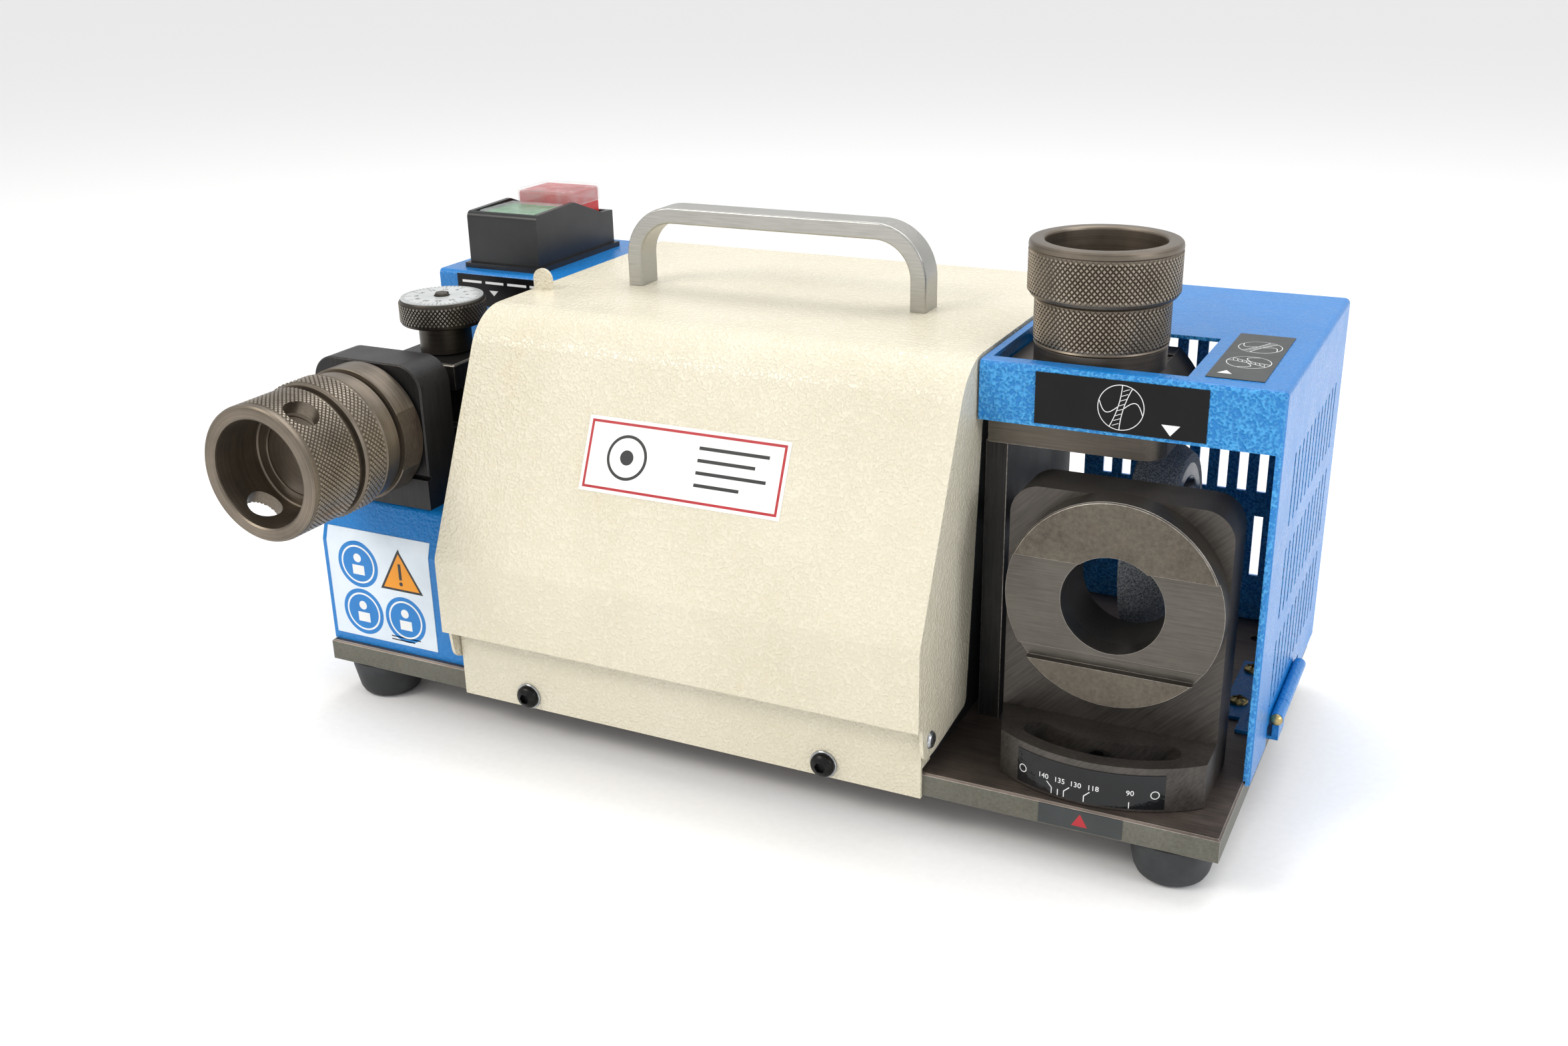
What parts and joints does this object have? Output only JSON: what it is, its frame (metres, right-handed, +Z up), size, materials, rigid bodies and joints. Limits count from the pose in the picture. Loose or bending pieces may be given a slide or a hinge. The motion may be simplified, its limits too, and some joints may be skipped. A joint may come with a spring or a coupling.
{
  "type": "drill bit sharpener",
  "caption": "Bench drill bit sharpener: motor and cone wheel under a hinged cover, a swivelling point port, a top port and a setting fixture on one plate.",
  "frame": {"origin": "on the surface the feet rest on, under the middle of the machine's outer box", "axes": "+Z up; +X to the right along the plate's length; -Y is the front, where the ports and the left chuck face the user"},
  "size_m": [0.4296, 0.276, 0.23],
  "materials": {
    "ground_plate": "ground and browned, bright worn edges",
    "foot_rubber": "matte",
    "cream_paint": "textured powder coat, slightly glossy",
    "blue_paint": "textured powder coat",
    "black_wrinkle": "wrinkle paint",
    "black_oxide": "milled and blackened",
    "phosphate_steel": "phosphated, knurled grips",
    "seat_steel": "milled and phosphated",
    "dial_steel": "blackened, knurled",
    "dial_face": "satin with a printed scale",
    "satin_aluminium": "anodised satin",
    "turned_aluminium": "turned, bright",
    "abrasive": "fine bonded grit",
    "zinc_steel": "zinc plated",
    "black_screw": "black oxide",
    "yellow_zinc": "yellow passivated zinc",
    "bright_steel": "ground",
    "motor_grey": "satin paint",
    "switch_plastic": "moulded, satin",
    "green_plastic": "translucent",
    "red_plastic": "translucent",
    "clear_cap": "clear moulding",
    "white_label": "printed film",
    "black_label": "printed film"
  },
  "bodies": {
    "frame": {"base_plate": "ground_plate", "rubber_feet": "foot_rubber", "foot_screws": "black_screw", "front_bracket": "cream_paint", "bracket_washers": "zinc_steel", "bracket_screws": "black_screw", "cover_rivets": "zinc_steel", "left_partition": "black_wrinkle", "right_partition": "black_wrinkle", "motor_body": "motor_grey", "motor_drive_cap": "motor_grey", "motor_tail_cap": "motor_grey", "shaft_bearings": "bright_steel", "motor_cradle": "motor_grey", "cradle_bolts": "black_screw", "right_hood": "blue_paint", "hinge_leaf": "blue_paint", "hood_knuckle": "blue_paint", "hinge_pin": "yellow_zinc", "brass_screws": "yellow_zinc", "left_housing": "blue_paint", "left_rear_panel": "blue_paint", "cable_gland": "switch_plastic", "switch_housing": "switch_plastic", "setting_arch": "black_oxide", "stop_block": "black_oxide", "fixture_pillar": "black_oxide", "top_port_block": "seat_steel", "top_port_column": "black_oxide", "pivot_pin": "black_oxide", "lock_screw": "black_screw", "flange_label": "black_label", "hood_top_label": "black_label", "web_label": "black_label", "safety_label": "white_label", "pointer_label": "black_label"},
    "cover": {"swing_cover": "cream_paint", "handle": "satin_aluminium", "handle_screws": "black_screw", "name_label": "white_label"},
    "point_port": {"port_bracket": "black_oxide", "seat_disc": "seat_steel", "scale_label": "black_label"},
    "spindle": {"motor_shaft": "bright_steel", "wheel_hub": "turned_aluminium", "abrasive_ring": "abrasive", "wheel_nut": "bright_steel"},
    "dial": {"dial_knob": "dial_steel", "dial_plate": "dial_face"},
    "web_slide": {"web_stop": "black_oxide"},
    "start_push": {"start_button": "green_plastic", "start_cap": "clear_cap"},
    "stop_push": {"stop_button": "red_plastic", "stop_cap": "clear_cap"},
    "left_chuck": {"left_chuck_barrel": "phosphate_steel", "left_collet": "phosphate_steel"},
    "left_nut": {"left_chuck_nut": "phosphate_steel"},
    "right_chuck": {"right_chuck_barrel": "phosphate_steel", "right_collet": "phosphate_steel"},
    "right_nut": {"right_chuck_nut": "phosphate_steel"}
  },
  "joints": [
    {"name": "cover_hinge", "type": "hinge", "parent": "frame", "child": "cover", "pos_m": [-0.00235, -0.0757, 0.0427], "axis": [1, 0, 0], "range_deg": [0, 95]},
    {"name": "port_swivel", "type": "hinge", "parent": "frame", "child": "point_port", "pos_m": [0.15415, -0.0097, 0.038], "axis": [0, 0, 1], "range_deg": [-14, 11]},
    {"name": "spindle_turn", "type": "hinge", "parent": "frame", "child": "spindle", "pos_m": [0.05765, 0.0303, 0.1024], "axis": [1, 0, 0], "continuous": true},
    {"name": "dial_turn", "type": "hinge", "parent": "frame", "child": "dial", "pos_m": [-0.18235, -0.0077, 0.168], "axis": [0, 0, 1], "range_deg": [0, 300]},
    {"name": "web_stop_slide", "type": "slide", "parent": "frame", "child": "web_slide", "axis": [1, 0, 0], "range_m": [0, 0.0085]},
    {"name": "start_press", "type": "slide", "parent": "frame", "child": "start_push", "axis": [0, 0, -1], "range_m": [0, 0.003], "stiffness_N_per_m": 500, "springref_m": -0.003},
    {"name": "stop_press", "type": "slide", "parent": "frame", "child": "stop_push", "axis": [0, 0, -1], "range_m": [0, 0.003], "stiffness_N_per_m": 500, "springref_m": -0.003},
    {"name": "left_chuck_slide", "type": "slide", "parent": "frame", "child": "left_chuck", "axis": [0, -1, 0], "range_m": [0, 0.06]},
    {"name": "left_nut_turn", "type": "hinge", "parent": "left_chuck", "child": "left_nut", "pos_m": [-0.18235, -0.1177, 0.1355], "axis": [0, -1, 0], "range_deg": [0, 270]},
    {"name": "right_chuck_slide", "type": "slide", "parent": "frame", "child": "right_chuck", "axis": [0, 0, 1], "range_m": [0, 0.045]},
    {"name": "right_nut_turn", "type": "hinge", "parent": "right_chuck", "child": "right_nut", "pos_m": [0.13095, 0.004, 0.218], "axis": [0, 0, 1], "range_deg": [0, 270]}
  ],
  "couplings": [
    {"joint": "web_stop_slide", "follows": "dial_turn", "m_per_rad": 0.001528}
  ]
}
